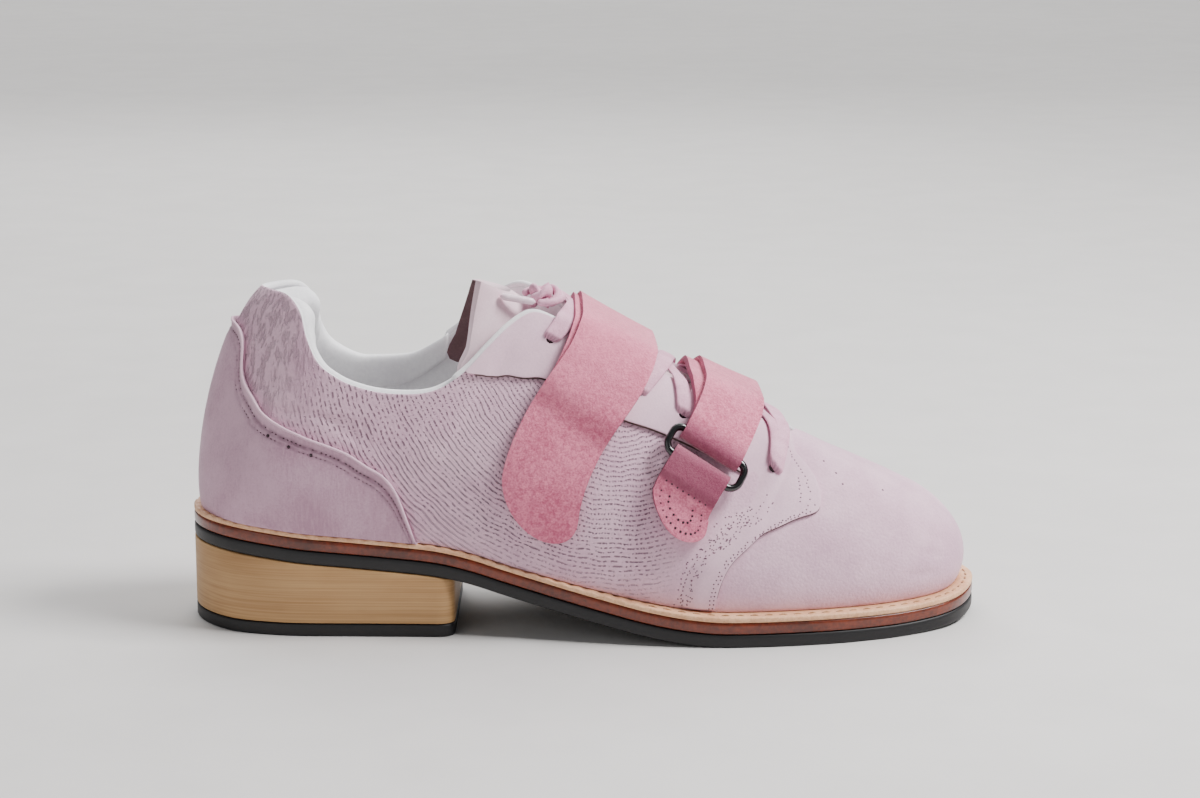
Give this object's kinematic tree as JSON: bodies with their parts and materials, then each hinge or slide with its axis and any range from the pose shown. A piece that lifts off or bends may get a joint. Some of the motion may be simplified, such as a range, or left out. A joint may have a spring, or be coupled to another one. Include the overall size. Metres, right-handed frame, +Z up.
{
  "type": "weightlifting shoe",
  "caption": "Low leather weightlifting shoe for the right foot, with laces, two ring straps, a welted leather and rubber sole and a raised wooden heel.",
  "frame": {"origin": "on the floor under the middle of the shoe's length and width", "axes": "+X from the heel to the toe, +Y to the inner side of the foot, +Z up"},
  "size_m": [0.2842, 0.0952, 0.1254],
  "materials": {
    "sole_rubber": "matt black",
    "sole_leather": "polished brown edge",
    "welt_leather": "natural, matt",
    "heel_wood": "satin, fine level grain",
    "insole_lining": "soft, matt",
    "upper_leather": "pale lilac nubuck",
    "counter_leather": "pale lilac nubuck",
    "facing_leather": "smooth nubuck",
    "collar_lining": "white, soft, matt",
    "tongue_leather": "soft, matt",
    "lace": "flat woven, slight sheen",
    "lace_tip": "smooth, light",
    "strap_suede": "pink suede, nap",
    "ring_metal": "gloss black"
  },
  "bodies": {
    "root": {"outsole": "sole_rubber", "midsole": "sole_leather", "welt": "welt_leather", "heel_block": "heel_wood", "heel_top_piece": "sole_rubber", "insole": "insole_lining", "upper": "upper_leather", "counter": "counter_leather", "facing_outer": "facing_leather", "facing_inner": "facing_leather", "collar_pad": "collar_lining", "tongue": "tongue_leather", "laces": "lace", "strap_upper": "strap_suede", "strap_lower": "strap_suede", "ring_upper": "ring_metal", "ring_lower": "ring_metal", "ring_tab_upper": "strap_suede", "ring_tab_lower": "strap_suede", "lace_knot": "lace", "lace_end": "lace", "lace_tip": "lace_tip"}
  },
  "joints": []
}
